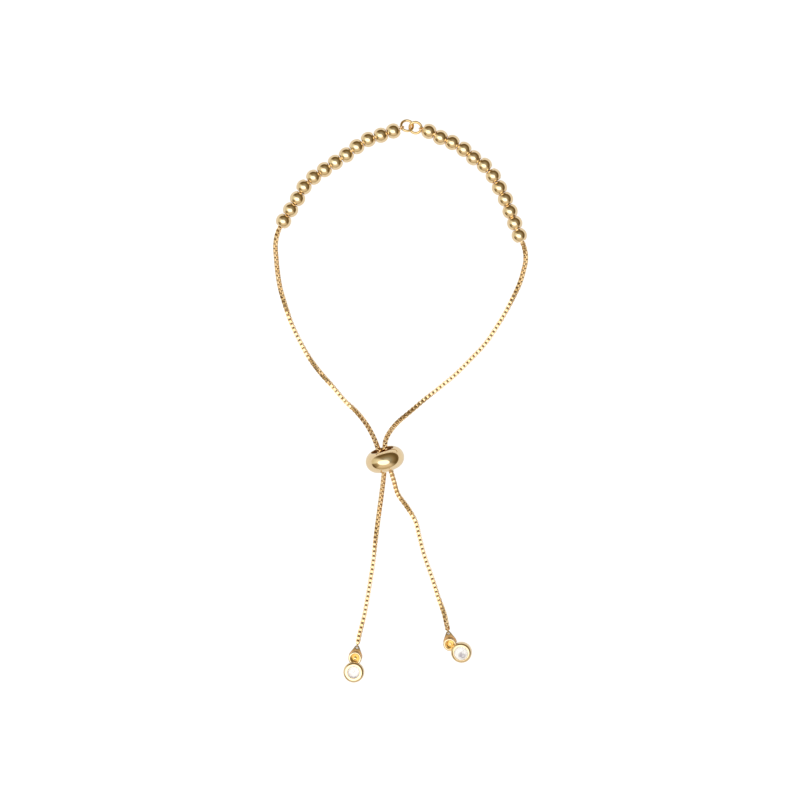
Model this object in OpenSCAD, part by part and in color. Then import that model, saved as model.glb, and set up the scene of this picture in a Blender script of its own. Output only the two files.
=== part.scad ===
// Sliding beaded bracelet, laid flat as it rests on a table.
// Two box chains carry twelve drilled beads each, meet at two linked rings at the top,
// run side by side through a round sliding bead and end in two stone set drops.
// X runs across the bracelet, Y towards the beaded arc, Z up from the table.

/* [Beads] */
// Diameter of a bead
bead_d = 3.2; // [3:0.05:3.25]
// Length of a bead between its flat ends
bead_len = 2.58; // [2.4:0.02:2.6]
// Diameter of the hole through a bead
bead_bore = 1.7; // [1.6:0.05:1.8]

/* [Box chains] */
// Width of a chain across its flat sides
chain_w = 0.92; // [0.8:0.02:0.94]
// Chamfer along the corners of a chain
chain_chamfer = 0.14; // [0.08:0.02:0.2]
// Wire of the small round link that closes each end of a chain
link_wire = 0.22; // [0.18:0.02:0.24]
// Radius of that link, to the middle of its wire
link_r = 0.49; // [0.48:0.01:0.5]

/* [Sliding bead] */
// Outer diameter of the sliding bead
slider_d = 8.1; // [7.8:0.1:8.2]
// Length of the sliding bead along its hole
slider_len = 4.3; // [4:0.1:4.4]
// Diameter of the open mouth at each end of its hole
slider_mouth = 4.8; // [4.4:0.1:5]
// Depth to which each mouth runs straight in, before the hole narrows
slider_mouth_depth = 0.95; // [0.7:0.05:1.1]
// Diameter of the waist that grips both chains
slider_waist = 3; // [2.9:0.1:3.4]
// Turn of the bead on the table
slider_turn = 15.5; // [12:0.5:18]
// Lift of the end of its hole that faces the beads
slider_lift = 11; // [9:1:13]

/* [Top rings] */
// Wire of the two linked rings
ring_wire = 0.54; // [0.48:0.02:0.56]
// Radius of a linked ring, to the middle of its wire
ring_r = 1.22; // [1.2:0.01:1.26]

/* [End drops] */
// Thickness of the pear shaped tag on each chain end
tag_t = 0.28; // [0.24:0.02:0.3]
// Radius of the round part of a tag
tag_r = 1.4; // [1.35:0.01:1.45]
// Radius of its narrow end
tag_tip_r = 0.48; // [0.46:0.01:0.5]
// Hole in its narrow end, which the chain's end link passes through
tag_hole = 0.5; // [0.46:0.02:0.52]
// Pin under the loop of a drop, which passes through the round part of its tag
pin_d = 0.68; // [0.6:0.02:0.7]
// Head of the pin, which keeps the tag on it
pin_head_d = 1.16; // [1.12:0.02:1.2]
// Diameter of a stone cup
cup_d = 4.3; // [4.2:0.05:4.35]
// Height of a stone cup
cup_h = 1.9; // [1.8:0.05:2]
// Radius of the rounding of its wall
cup_round = 0.6; // [0.5:0.05:0.65]
// Opening in the back of a stone cup
cup_back_bore = 2.5; // [2.2:0.1:2.6]
// Wire of the loop soldered to a cup
eye_wire = 0.54; // [0.5:0.02:0.56]
// Radius of that loop, to the middle of its wire
eye_r = 1.12; // [1.1:0.01:1.14]
// Distance from the middle of the cup to the middle of its loop
eye_reach = 2.88; // [2.86:0.01:2.92]

/* [Stones] */
// Diameter of a stone at its girdle
stone_d = 3.2; // [3.1:0.02:3.22]
// Diameter of the flat table on top of a stone
stone_table_d = 1.8; // [1.7:0.02:1.9]
// Height of the crown above the girdle
stone_crown = 0.42; // [0.38:0.01:0.42]
// Depth of the pavilion below the girdle
stone_pavilion = 1.1; // [1:0.05:1.1]

/* [Hidden] */
$fn = 64;

// Columns of a route: place, and roll of the chain about its own line.
X = 0;
Y = 1;
Z = 2;
ROLL = 3;

// Beads on each side, the first beside the rings.
BEADS = 12;

// Left chain between its end links: twelve bead middles, the open run down to the
// sliding bead, three places inside its hole, then the tail.
left_route = [
    [-1.49, 55.77, 1.6, 0],
    [-4.07, 54.9, 1.6, 0],
    [-6.68, 54.02, 1.6, 0],
    [-9.04, 52.53, 1.6, 0],
    [-11.19, 50.83, 1.6, 0],
    [-13.48, 49.3, 1.6, 0],
    [-15.74, 47.77, 1.6, 0],
    [-17.98, 46.22, 1.6, 0],
    [-19.98, 44.2, 1.6, 0],
    [-21.31, 41.79, 1.6, 0],
    [-22.75, 39.48, 1.6, 0],
    [-24.2, 37.15, 1.6, 10],
    [-25.4, 34.8, 1.16, 25],
    [-25.9, 32.2, 0.66, 45],
    [-25.75, 29.4, 0.58, 45],
    [-25.45, 26.4, 0.58, 45],
    [-24.95, 23.4, 0.58, 45],
    [-23.9, 19.8, 0.58, 30],
    [-22.6, 16, 0.52, 5],
    [-20.9, 12.4, 0.5, 0],
    [-18.9, 8.86, 0.57, 20],
    [-16.6, 5.75, 0.58, 45],
    [-14.05, 2.9, 0.54, 10],
    [-11.6, 0, 0.62, 0],
    [-9.2, -2.25, 1.35, 30],
    [-7.1, -4.85, 2.5, 45],
    [-5.6, -7.5, 3.6, 45],
    [-4.42, -10.54, 4.3, 45],
    [-3.92, -12.34, 3.96, 45],
    [-3.42, -14.14, 3.5, 45],
    [-3.6, -16.8, 2.3, 45],
    [-3.95, -19.6, 1.25, 45],
    [-4.35, -22.5, 0.7, 45],
    [-4.78, -25.8, 0.58, 40],
    [-5.2, -29.2, 0.57, 20],
    [-5.6, -33, 0.5, 0],
    [-6.2, -37, 0.5, 0],
    [-6.9, -41.2, 0.5, 0],
    [-7.6, -45, 0.52, 0],
    [-8.4, -48.1, 0.72, 10],
];

// Right chain, in the same order.
right_route = [
    [5.87, 55.69, 1.6, 0],
    [8.26, 54.43, 1.6, 0],
    [10.71, 53.39, 1.6, 0],
    [13.11, 51.99, 1.6, 0],
    [15.13, 50.23, 1.6, 0],
    [17.36, 48.66, 1.6, 0],
    [19.19, 46.49, 1.6, 0],
    [20.46, 44.05, 1.6, 0],
    [21.71, 41.67, 1.6, 0],
    [22.67, 39.16, 1.6, 0],
    [23.63, 36.7, 1.6, 0],
    [24.57, 34.16, 1.6, 10],
    [25.6, 31.8, 1.16, 30],
    [25.95, 29.3, 0.66, 45],
    [25.5, 26.9, 0.58, 45],
    [24.75, 24.4, 0.58, 40],
    [23.6, 21.8, 0.57, 20],
    [21.95, 18.6, 0.52, 5],
    [19.9, 15.2, 0.5, 0],
    [17.5, 11.7, 0.5, 0],
    [14.4, 8.4, 0.5, 0],
    [11.4, 5.4, 0.5, 0],
    [8.2, 2.75, 0.5, 0],
    [5, 0.2, 0.62, 10],
    [2, -2.35, 1.25, 20],
    [-0.7, -4.65, 2.35, 40],
    [-2.35, -6.7, 3.35, 45],
    [-3.1, -8.4, 4.05, 45],
    [-3.16, -10.2, 4.32, 40],
    [-2.66, -12, 3.96, 35],
    [-2.16, -13.8, 3.52, 20],
    [-1.35, -16.6, 2.3, 10],
    [-0.5, -19.4, 1.25, 15],
    [1.4, -22.1, 0.72, 30],
    [3.1, -25, 0.55, 5],
    [4, -28.6, 0.5, 0],
    [5, -32.35, 0.5, 0],
    [6.45, -36.45, 0.5, 0],
    [7.85, -40.8, 0.54, 10],
    [9, -44, 0.75, 30],
    [9.55, -46.3, 1, 45],
];

// Poses of the flat pieces: middle, turn about Z, then pitch about X, then roll about Y.
// A piece lies in its own XY plane and its +Y side faces the chain.
AT = 0;
TURN = 1;
PITCH = 2;
LEAN = 3;
ring_left_pose = [[1.36, 56.89, 1.33], -12.8, -25, 0];
ring_right_pose = [[3.11, 56.49, 1.33], -12.8, 25, 0];
eye_left_pose = [[-9.43, -53.38, 1.08], -4.6, 0, -4];
eye_right_pose = [[10.23, -50.53, 1.46], 56, 0, -15];

// Turn, in the ring's own plane, from its +Y side to the place of its chain link.
ring_left_link = 127;
ring_right_link = -89;
// Middle of the end link on a tag, from the middle of the tag's pin hole.
tag_link = 2.68;
// How far a tag's middle hangs below the middle of the drop's loop, along the pin.
tag_drop = 0.66;

// Sizes that follow from the values above.
slider_r = slider_d / 2;
slider_mouth_r = slider_mouth / 2;
slider_half = slider_len / 2;
// The sliding bead's side is one arc from mouth to mouth through its widest point.
slider_arc_r = (pow(slider_r - slider_mouth_r, 2) + pow(slider_half, 2))
    / (2 * (slider_r - slider_mouth_r));
slider_arc_c = slider_r - slider_arc_r;
slider_z = slider_arc_c * cos(slider_lift) + slider_arc_r + 0.01;
slider_at = [-3.22, -12.17, slider_z];
// Half the length of the waist.
waist_half = 0.5;

// The tag's narrow end, so that the end link hangs free between its hole and its edge.
tag_tip_y = tag_link - 0.44;
// The tag's round part is a little nearer the chain than the pin. Its foot is cut back
// round the pin, so that the cup can swing.
tag_round_y = 0.35;
tag_corner = [1.38, 0.12];
tag_foot_r = 0.68;
tag_pin_hole = pin_d + 0.22;
// Web that fills a drop's loop, as radius and height: a groove round a pointed middle.
web_rim = [1, 0.22];
web_groove = [0.45, -0.3];
web_point_z = 0.12;
web_back = [0.6, -0.4];
pin_head_z = -0.92;
pin_end_z = -1;

cup_r = cup_d / 2;
cup_back_t = 0.3;
cup_cavity_r = 1.36;
cup_lip_d = stone_d - 0.25;
cup_groove_r = stone_d / 2 + 0.07;
// Height of the stone's girdle inside the cup, and half its thickness.
girdle_z = 1.44;
girdle_half = 0.04;
seat_z = 1.12;
seat_top_z = 1.34;
lip_z = 1.64;
// Height of the soldered loop above the back of the cup.
eye_z = 1;

GOLD = [0.85, 0.68, 0.38];
CRYSTAL = [0.93, 0.93, 0.95, 0.7];

// Turning matrices, and the place in the bracelet of a point given on a posed piece.
function turn_x(a) = [[1, 0, 0], [0, cos(a), -sin(a)], [0, sin(a), cos(a)]];
function turn_y(a) = [[cos(a), 0, sin(a)], [0, 1, 0], [-sin(a), 0, cos(a)]];
function turn_z(a) = [[cos(a), -sin(a), 0], [sin(a), cos(a), 0], [0, 0, 1]];
function posed(pose, p) =
    pose[AT] + turn_z(pose[TURN]) * turn_x(pose[PITCH]) * turn_y(pose[LEAN]) * p;

// Vectors along a route.
function unit(v) = v / norm(v);
function place(row) = [row[X], row[Y], row[Z]];
function heading(rows, k) =
    unit(place(rows[min(k + 1, len(rows) - 1)]) - place(rows[max(k - 1, 0)]));
function across(t) = unit(cross([0, 0, 1], t));

// Where a chain meets its end link, on the far side from what the link holds: the link's
// middle is at radius r, towards turn a of the pose.
function link_heel(pose, r, a) =
    posed(pose, turn_z(a) * [0, r + link_r - link_wire / 4, 0]);

// Poses of the tags: each has its middle on the pin of its drop.
tag_left_pose = [posed(eye_left_pose, [0, 0, -tag_drop]), -9.6, 5.5, -4];
tag_right_pose = [posed(eye_right_pose, [0, 0, -tag_drop]), 10.6, 8, -10.5];

// A whole chain: its end places are worked out from the links that close it.
function whole_route(rows, top, foot) = concat(
    [[top[X], top[Y], top[Z], rows[0][ROLL]]],
    rows,
    [[foot[X], foot[Y], foot[Z], rows[len(rows) - 1][ROLL]]]
);
left_chain = whole_route(
    left_route,
    link_heel(ring_left_pose, ring_r, ring_left_link),
    link_heel(tag_left_pose, tag_link, 0)
);
right_chain = whole_route(
    right_route,
    link_heel(ring_right_pose, ring_r, ring_right_link),
    link_heel(tag_right_pose, tag_link, 0)
);

module pose_of(pose) {
    translate(pose[AT])
        rotate([0, 0, pose[TURN]])
            rotate([pose[PITCH], 0, 0])
                rotate([0, pose[LEAN], 0])
                    children();
}

// Round wire bent to a full ring, flat in XY.
module wire_ring(r, wire) {
    rotate_extrude() translate([r, 0]) circle(d = wire);
}

// Drilled bead with flat ends at row k of a chain, its hole along the chain there.
module bead(rows, k) {
    t = heading(rows, k);
    color(GOLD)
        translate(place(rows[k]))
            rotate([0, 90 - asin(t[Z]), atan2(t[Y], t[X])])
                rotate_extrude()
                    difference() {
                        circle(d = bead_d);
                        translate([-bead_d, -bead_d]) square([bead_d + bead_bore / 2, 2 * bead_d]);
                        for (y = [bead_len / 2, -bead_len / 2 - 1])
                            translate([0, y]) square([bead_d, 1]);
                    }
}

// Chamfered square tube swept along a chain's rows, rolled as each row says.
module chain_tube(rows) {
    h = chain_w / 2;
    c = h - chain_chamfer;
    outline = [[h, c], [c, h], [-c, h], [-h, c], [-h, -c], [-c, -h], [c, -h], [h, -c]];
    sides = len(outline);
    last = len(rows) - 1;
    points = [
        for (k = [0:last])
            let (
                t = heading(rows, k),
                s = across(t),
                u = cross(t, s),
                a = rows[k][ROLL]
            )
            for (q = outline)
                place(rows[k])
                    + s * (q[0] * cos(a) - q[1] * sin(a))
                    + u * (q[0] * sin(a) + q[1] * cos(a))
    ];
    walls = [
        for (k = [0:last - 1], j = [0:sides - 1])
            let (
                a = k * sides + j,
                b = k * sides + (j + 1) % sides
            )
            each [[a, b, b + sides], [a, b + sides, a + sides]]
    ];
    top = [for (j = [sides - 1:-1:0]) j];
    foot = [for (j = [0:sides - 1]) last * sides + j];
    polyhedron(points = points, faces = concat(walls, [top], [foot]), convexity = 6);
}

// Closing link of a chain, standing across what it holds.
module end_link(pose, r, a) {
    pose_of(pose)
        rotate([0, 0, a])
            translate([0, r, 0])
                rotate([0, 90, 0])
                    wire_ring(link_r, link_wire);
}

module chain(rows, ring_pose, ring_link, tag_pose) {
    color(GOLD) {
        chain_tube(rows);
        end_link(ring_pose, ring_r, ring_link);
        end_link(tag_pose, tag_link, 0);
    }
}

// Round sliding bead, its hole open at both ends and narrow at the waist.
module slider_bead() {
    color(GOLD)
        translate(slider_at)
            rotate([slider_lift - 90, 0, slider_turn])
                rotate_extrude()
                    difference() {
                        intersection() {
                            translate([slider_arc_c, 0]) circle(r = slider_arc_r);
                            translate([0, -slider_half]) square([slider_r + 1, slider_len]);
                        }
                        polygon([
                            [-1, -slider_half - 1],
                            [slider_mouth_r, -slider_half - 1],
                            [slider_mouth_r, slider_mouth_depth - slider_half],
                            [slider_waist / 2, -waist_half],
                            [slider_waist / 2, waist_half],
                            [slider_mouth_r, slider_half - slider_mouth_depth],
                            [slider_mouth_r, slider_half + 1],
                            [-1, slider_half + 1],
                        ]);
                    }
}

module top_ring(pose) {
    color(GOLD) pose_of(pose) wire_ring(ring_r, ring_wire);
}

// Pear shaped tag: a flat plate with a hole in its narrow end for the end link, and one
// in its round part for the pin of the drop.
module end_tag(pose) {
    half = asin((tag_r - tag_tip_r) / (tag_tip_y - tag_round_y));
    low = asin((tag_corner[1] - tag_round_y) / tag_r);
    steps = 12;
    round_side = [
        for (k = [0:steps])
            let (a = low + k * (half - low) / steps)
            [cos(a) * tag_r, tag_round_y + sin(a) * tag_r]
    ];
    tip = [
        for (k = [0:steps])
            let (a = half + k * (180 - 2 * half) / steps)
            [cos(a) * tag_tip_r, tag_tip_y + sin(a) * tag_tip_r]
    ];
    foot = [
        for (k = [0:steps])
            let (a = 200 + k * 140 / steps)
            [cos(a) * tag_foot_r, sin(a) * tag_foot_r]
    ];
    other_side = [for (k = [steps:-1:0]) [-round_side[k][0], round_side[k][1]]];
    color(GOLD) pose_of(pose)
        difference() {
            translate([0, 0, -tag_t / 2])
                linear_extrude(tag_t) polygon(concat(round_side, tip, other_side, foot));
            translate([0, tag_tip_y, 0]) cylinder(d = tag_hole, h = tag_t + 1, center = true);
            cylinder(d = tag_pin_hole, h = tag_t + 1, center = true);
        }
}

// Loop soldered to a drop: a ring filled with a grooved web, and the pin under it.
module eye() {
    wire_ring(eye_r, eye_wire);
    rotate_extrude()
        polygon([
            [0, web_point_z],
            web_groove,
            web_rim,
            [eye_r, 0],
            [web_back[0] + 0.3, web_back[1] + 0.25],
            web_back,
            [pin_d / 2, web_back[1]],
            [pin_d / 2, pin_head_z],
            [pin_head_d / 2, pin_head_z],
            [pin_head_d / 2, pin_end_z],
            [0, pin_end_z],
        ]);
}

// Places a cup or stone so that the loop soldered to it has the pose given.
// A cup that lies on its face is turned over about the line through its loop.
module cup_pose(pose, face_up) {
    pose_of(pose)
        translate([0, -eye_reach, 0])
            rotate([0, face_up ? 0 : 180, 0])
                translate([0, 0, -eye_z])
                    children();
}

// Open backed cup that holds a stone under its lip, with a soldered loop.
module stone_cup(pose, face_up) {
    color(GOLD) {
        pose_of(pose) eye();
        cup_pose(pose, face_up)
            rotate_extrude()
                difference() {
                    union() {
                        square([cup_r - cup_round, cup_h]);
                        translate([0, cup_round]) square([cup_r, cup_h - 2 * cup_round]);
                        for (y = [cup_round, cup_h - cup_round])
                            translate([cup_r - cup_round, y]) circle(r = cup_round);
                    }
                    polygon([
                        [-1, -1],
                        [cup_back_bore / 2, -1],
                        [cup_back_bore / 2, cup_back_t],
                        [cup_cavity_r, cup_back_t],
                        [cup_cavity_r, seat_z],
                        [cup_groove_r, seat_top_z],
                        [cup_groove_r, lip_z],
                        [cup_lip_d / 2, lip_z],
                        [cup_lip_d / 2, cup_h + 1],
                        [-1, cup_h + 1],
                    ]);
                }
    }
}

// Round cut stone: eight sided table, crown and pavilion facets meeting a thin girdle.
module stone(pose, face_up) {
    facets = 16;
    step = 360 / facets;
    table = [
        for (k = [0:2:facets - 1])
            [cos(k * step) * stone_table_d / 2, sin(k * step) * stone_table_d / 2,
                girdle_z + girdle_half + stone_crown]
    ];
    rim = [
        for (side = [1, -1], k = [0:facets - 1])
            [cos(k * step) * stone_d / 2, sin(k * step) * stone_d / 2,
                girdle_z + side * girdle_half]
    ];
    culet = [[0, 0, girdle_z - girdle_half - stone_pavilion]];
    half = facets / 2;
    // Point numbers: table 0 to 7, upper rim 8 to 23, lower rim 24 to 39, culet last.
    upper = half;
    lower = half + facets;
    bottom = half + 2 * facets;
    crown = [
        for (k = [0:half - 1])
            let (
                t0 = k,
                t1 = (k + 1) % half,
                g0 = upper + 2 * k,
                g1 = g0 + 1,
                g2 = upper + (2 * k + 2) % facets
            )
            each [[t0, g0, g1], [t0, g1, t1], [t1, g1, g2]]
    ];
    band = [
        for (k = [0:facets - 1])
            let (n = (k + 1) % facets)
            each [[upper + k, lower + k, lower + n], [upper + k, lower + n, upper + n]]
    ];
    pavilion = [for (k = [0:facets - 1]) [lower + k, bottom, lower + (k + 1) % facets]];
    flat_top = [for (k = [0:half - 1]) k];
    shape = concat([flat_top], crown, band, pavilion);
    color(CRYSTAL)
        cup_pose(pose, face_up)
            polyhedron(
                points = concat(table, rim, culet),
                faces = [for (f = shape) [for (j = [len(f) - 1:-1:0]) f[j]]],
                convexity = 2
            );
}

for (k = [1:BEADS]) {
    number = str(k < 10 ? "0" : "", k);
    bead(left_chain, k);
    bead(right_chain, k);
}
chain(left_chain, ring_left_pose, ring_left_link, tag_left_pose);  // chain_left
chain(right_chain, ring_right_pose, ring_right_link, tag_right_pose);  // chain_right
slider_bead();
top_ring(ring_left_pose);  // ring_left
top_ring(ring_right_pose);  // ring_right
end_tag(tag_left_pose);  // end_tag_left
end_tag(tag_right_pose);  // end_tag_right
stone_cup(eye_left_pose, false);  // stone_cup_left
stone_cup(eye_right_pose, true);  // stone_cup_right
stone(eye_left_pose, false);  // stone_left
stone(eye_right_pose, true);  // stone_right
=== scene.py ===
"""Looks of a sliding bracelet: round gold beads on fine box chain, laid flat in a pale studio.

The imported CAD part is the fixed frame. Each visible piece is modelled again here in full
detail, in the same place and to the same sizes. Pieces are shaped in millimetres, as the
drawings of such work are, and brought to metres when they are placed.
"""

import logging
import math
from collections.abc import Callable, Sequence
from dataclasses import dataclass
from enum import Enum

import bmesh
import bpy
import numpy as np
from bmesh.types import BMEdge, BMesh, BMVert
from bpy.types import Material, Mesh, NodeSocket, Object, World
from mathutils import Matrix, Vector


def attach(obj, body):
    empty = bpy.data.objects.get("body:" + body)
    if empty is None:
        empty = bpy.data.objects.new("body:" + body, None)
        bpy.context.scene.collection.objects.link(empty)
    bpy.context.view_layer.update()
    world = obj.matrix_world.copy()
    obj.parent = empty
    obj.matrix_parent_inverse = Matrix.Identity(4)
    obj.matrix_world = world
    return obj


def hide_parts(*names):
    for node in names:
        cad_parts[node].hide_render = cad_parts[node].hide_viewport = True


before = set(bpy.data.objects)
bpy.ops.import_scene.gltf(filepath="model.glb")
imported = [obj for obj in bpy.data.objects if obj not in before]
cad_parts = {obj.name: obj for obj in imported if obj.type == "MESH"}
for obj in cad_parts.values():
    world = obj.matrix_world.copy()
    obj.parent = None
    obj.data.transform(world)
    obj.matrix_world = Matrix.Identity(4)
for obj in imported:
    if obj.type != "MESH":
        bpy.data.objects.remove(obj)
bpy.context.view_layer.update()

MM = 0.001
BEADS_A_SIDE = 12
WHITE = (1.0, 1.0, 1.0)
UP = Vector((0.0, 0.0, 1.0))
# In mm: points this close are one, and a point this close to a line lies on it.
SAME = 1e-4
ON_LINE = 1e-3

log = logging.getLogger("bracelet")

Choice = Callable[[BMEdge], bool]
Colour = tuple[float, float, float]
Place = tuple[float, float, float]
Row = tuple[float, float, float, float]
Span = tuple[float, float]
Stops = tuple[tuple[float, Colour], ...]


class Side(Enum):
    """The two halves of the bracelet, as seen from above with the beads at the top."""

    LEFT = "left"
    RIGHT = "right"


class Lying(Enum):
    """How a stone cup lies on the table."""

    FACE_UP = 0.0
    FACE_DOWN = 180.0


# Shader tools


class Signal:
    """A node's output, with arithmetic that adds the Math nodes it needs."""

    def __init__(self, bench: "Bench", socket: NodeSocket | None) -> None:
        """Keeps the socket and the bench that it belongs to."""
        self.bench = bench
        self.socket = socket

    def _math(self, operation: str, first: "Signal | float", second: "Signal | float") -> "Signal":
        """Adds one Math node, and hands back its output."""
        return self.bench.add("Math", {"operation": operation}, {0: first, 1: second})

    def __add__(self, other: "Signal | float") -> "Signal":
        """Sum."""
        return self._math("ADD", self, other)

    def __radd__(self, other: float) -> "Signal":
        """Sum, with the number first."""
        return self._math("ADD", other, self)

    def __sub__(self, other: "Signal | float") -> "Signal":
        """Difference."""
        return self._math("SUBTRACT", self, other)

    def __rsub__(self, other: float) -> "Signal":
        """Difference, with the number first."""
        return self._math("SUBTRACT", other, self)

    def __mul__(self, other: "Signal | float") -> "Signal":
        """Product."""
        return self._math("MULTIPLY", self, other)

    def __rmul__(self, other: float) -> "Signal":
        """Product, with the number first."""
        return self._math("MULTIPLY", other, self)

    def __truediv__(self, other: "Signal | float") -> "Signal":
        """Quotient."""
        return self._math("DIVIDE", self, other)

    def __pow__(self, power: float) -> "Signal":
        """Power."""
        return self._math("POWER", self, power)

    def at_least(self, floor: float) -> "Signal":
        """The greater of this and a number."""
        return self._math("MAXIMUM", self, floor)


class Bench:
    """A node tree, and the one way in which nodes are added to it."""

    # Numbers of the Mix node's sockets for colours.
    MIX_FIRST, MIX_SECOND, MIX_RESULT = 6, 7, 2

    def __init__(self, owner: Material | World) -> None:
        """Empties a node tree.

        Args:
            owner: The material or the room whose tree it is.
        """
        owner.use_nodes = True
        self.tree = owner.node_tree
        self.tree.nodes.clear()

    def add(
        self,
        kind: str,
        settings: dict[str, object] | None = None,
        inputs: dict[str | int, object] | None = None,
        output: str | int = 0,
    ) -> Signal:
        """Adds a node.

        Args:
            kind: The node's type, without the ShaderNode that each type starts with.
            settings: Its own properties, set first.
            inputs: Values, colours or signals for its sockets, by name or number.
            output: The output to hand back, by name or number.

        Returns:
            The output as a signal.
        """
        node = self.tree.nodes.new("ShaderNode" + kind)
        for name, value in (settings or {}).items():
            setattr(node, name, value)
        for name, value in (inputs or {}).items():
            socket = node.inputs[name]
            if isinstance(value, Signal):
                self.tree.links.new(value.socket, socket)
            else:
                socket.default_value = (*value, 1.0) if socket.type == "RGBA" else value
        return Signal(self, node.outputs[output] if node.outputs else None)

    def ramp(self, value: Signal, stops: Stops) -> Signal:
        """Colours a value.

        Args:
            value: What the colour follows.
            stops: Value and colour of each stop, in order.

        Returns:
            The colour, blended from the stops on both sides.
        """
        made = self.add("ValToRGB", inputs={"Fac": value})
        elements = made.socket.node.color_ramp.elements
        while len(elements) < len(stops):
            elements.new(1.0)
        for element, (position, colour) in zip(elements, stops):
            element.position = position
            element.color = (*colour, 1.0)
        return made

    def mix(self, share: Signal, first: Colour | Signal, second: Colour | Signal) -> Signal:
        """Mixes two colours, from the first at a share of 0 to the second at 1."""
        inputs = {0: share, self.MIX_FIRST: first, self.MIX_SECOND: second}
        return self.add("Mix", {"data_type": "RGBA"}, inputs, self.MIX_RESULT)

    def along(self, way: Signal, axis: Vector) -> Signal:
        """Length of a vector along an axis of length 1, negative against it."""
        inputs = {0: way, 1: tuple(axis)}
        return self.add("VectorMath", {"operation": "DOT_PRODUCT"}, inputs, "Value")

    def smooth_step(self, value: Signal, low: float, high: float) -> Signal:
        """A soft step from 0 to 1, as a value goes from low to high."""
        inputs = {"Value": value, "From Min": low, "From Max": high}
        return self.add("MapRange", {"interpolation_type": "SMOOTHSTEP"}, inputs)


# Finishes


@dataclass(frozen=True)
class GoldFinish:
    """Polished yellow gold, with faint clouds in its tint and fine wiping marks in its polish.

    Clouds and marks set in between two values of their noise. An attribute of the piece that is
    named in its shading field darkens the gold as painted shade.
    """

    name: str
    colour: Colour = (0.91, 0.72, 0.455)
    deep_colour: Colour = (0.87, 0.66, 0.39)
    roughness: float = 0.07
    dulling: float = 0.07
    cloud_scale: float = 520.0
    cloud_span: Span = (0.35, 0.7)
    cloud_relief: float = 1.4
    mark_scale: float = 2600.0
    mark_stretch: Place = (1.0, 9.0, 1.0)
    mark_span: Span = (0.56, 0.7)
    mark_relief: float = 0.5
    mark_dulling: float = 0.05
    mark_depth: float = 0.0000011
    relief: float = 0.6
    # Painted shade: an attribute named here darkens the gold towards the colour below.
    shaded_by: str = ""
    painted_shade_colour: Colour = (0.2, 0.14, 0.055)

    def material(self) -> Material:
        """Makes the finish.

        Returns:
            A material that reads Object coordinates, and the attribute that paints shade into it.
        """
        made = bpy.data.materials.new(self.name)
        bench = Bench(made)
        here = bench.add("TexCoord", output="Object")
        inputs = {"Vector": here, "Scale": self.cloud_scale, "Detail": 3.0, "Roughness": 0.6}
        clouds = bench.add("TexNoise", inputs=inputs)
        stretched = bench.add("Mapping", inputs={"Vector": here, "Scale": self.mark_stretch})
        inputs = {"Vector": stretched, "Scale": self.mark_scale, "Detail": 4.0}
        marks = bench.add("TexNoise", inputs=inputs)
        hairlines = bench.smooth_step(marks, *self.mark_span)
        soft = bench.smooth_step(clouds, *self.cloud_span)
        height = clouds * self.cloud_relief + hairlines * self.mark_relief
        inputs = {"Strength": self.relief, "Distance": self.mark_depth, "Height": height}
        relief = bench.add("Bump", inputs=inputs)
        tone = bench.mix(soft, self.colour, self.deep_colour)
        # Painted shade, as much as the piece's attribute asks.
        if self.shaded_by:
            painted_shade = bench.add("Attribute", {"attribute_name": self.shaded_by}, output="Fac")
            tone = bench.mix(painted_shade, tone, self.painted_shade_colour)
        inputs = {
            "Base Color": tone,
            "Metallic": 1.0,
            "Roughness": self.roughness + soft * self.dulling + hairlines * self.mark_dulling,
            "Normal": relief,
        }
        surface = bench.add("BsdfPrincipled", inputs=inputs)
        bench.add("OutputMaterial", inputs={"Surface": surface})
        return made


@dataclass(frozen=True)
class CrystalFinish:
    """Clear cut stone, darker towards or away from one place as painted shade of its rim and its
    dark facet reflections, with dark flecks and a faint painted white glow.

    It is clear at clear_reach from the place and fully in the painted shade at the other reach.
    """

    name: str
    middle: Place
    clear_reach: float
    shaded_reach: float
    facet_shade_colour: Colour = (0.24, 0.19, 0.23)
    ior: float = 1.52
    clarity: float = 0.35
    painted_glow: float = 0.14
    roughness: float = 0.01
    shaded_roughness: float = 0.02
    facet_shade: float = 0.5
    fleck_scale: float = 2600.0
    fleck_span: Span = (0.4, 0.6)
    shaded_flecks: float = 0.42
    clear_flecks: float = 0.08

    def material(self) -> Material:
        """Makes the finish.

        Returns:
            A material that reads Object coordinates alone.
        """
        made = bpy.data.materials.new(self.name)
        bench = Bench(made)
        here = bench.add("TexCoord", output="Object")
        inputs = {"Vector": here, "Scale": self.fleck_scale}
        cells = bench.add("TexVoronoi", inputs=inputs, output="Color")
        inputs = {0: here, 1: self.middle}
        away = bench.add("VectorMath", {"operation": "DISTANCE"}, inputs, "Value")
        near = bench.smooth_step(away, self.clear_reach, self.shaded_reach)
        flecks = bench.smooth_step(cells, *self.fleck_span)
        # Painted shade: a darker tint for the stone's dark facet reflections and rim, near or away
        # from the middle, with flecks.
        facet_shade = near * self.facet_shade + flecks * (near * self.shaded_flecks + self.clear_flecks)
        inputs = {
            "Base Color": bench.mix(facet_shade, WHITE, self.facet_shade_colour),
            "Roughness": self.roughness + facet_shade * self.shaded_roughness,
            "IOR": self.ior,
            "Transmission Weight": self.clarity,
            # A faint painted white glow, though the stone is no lamp.
            "Emission Color": WHITE,
            "Emission Strength": self.painted_glow,
        }
        surface = bench.add("BsdfPrincipled", inputs=inputs)
        bench.add("OutputMaterial", inputs={"Surface": surface})
        return made


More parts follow.
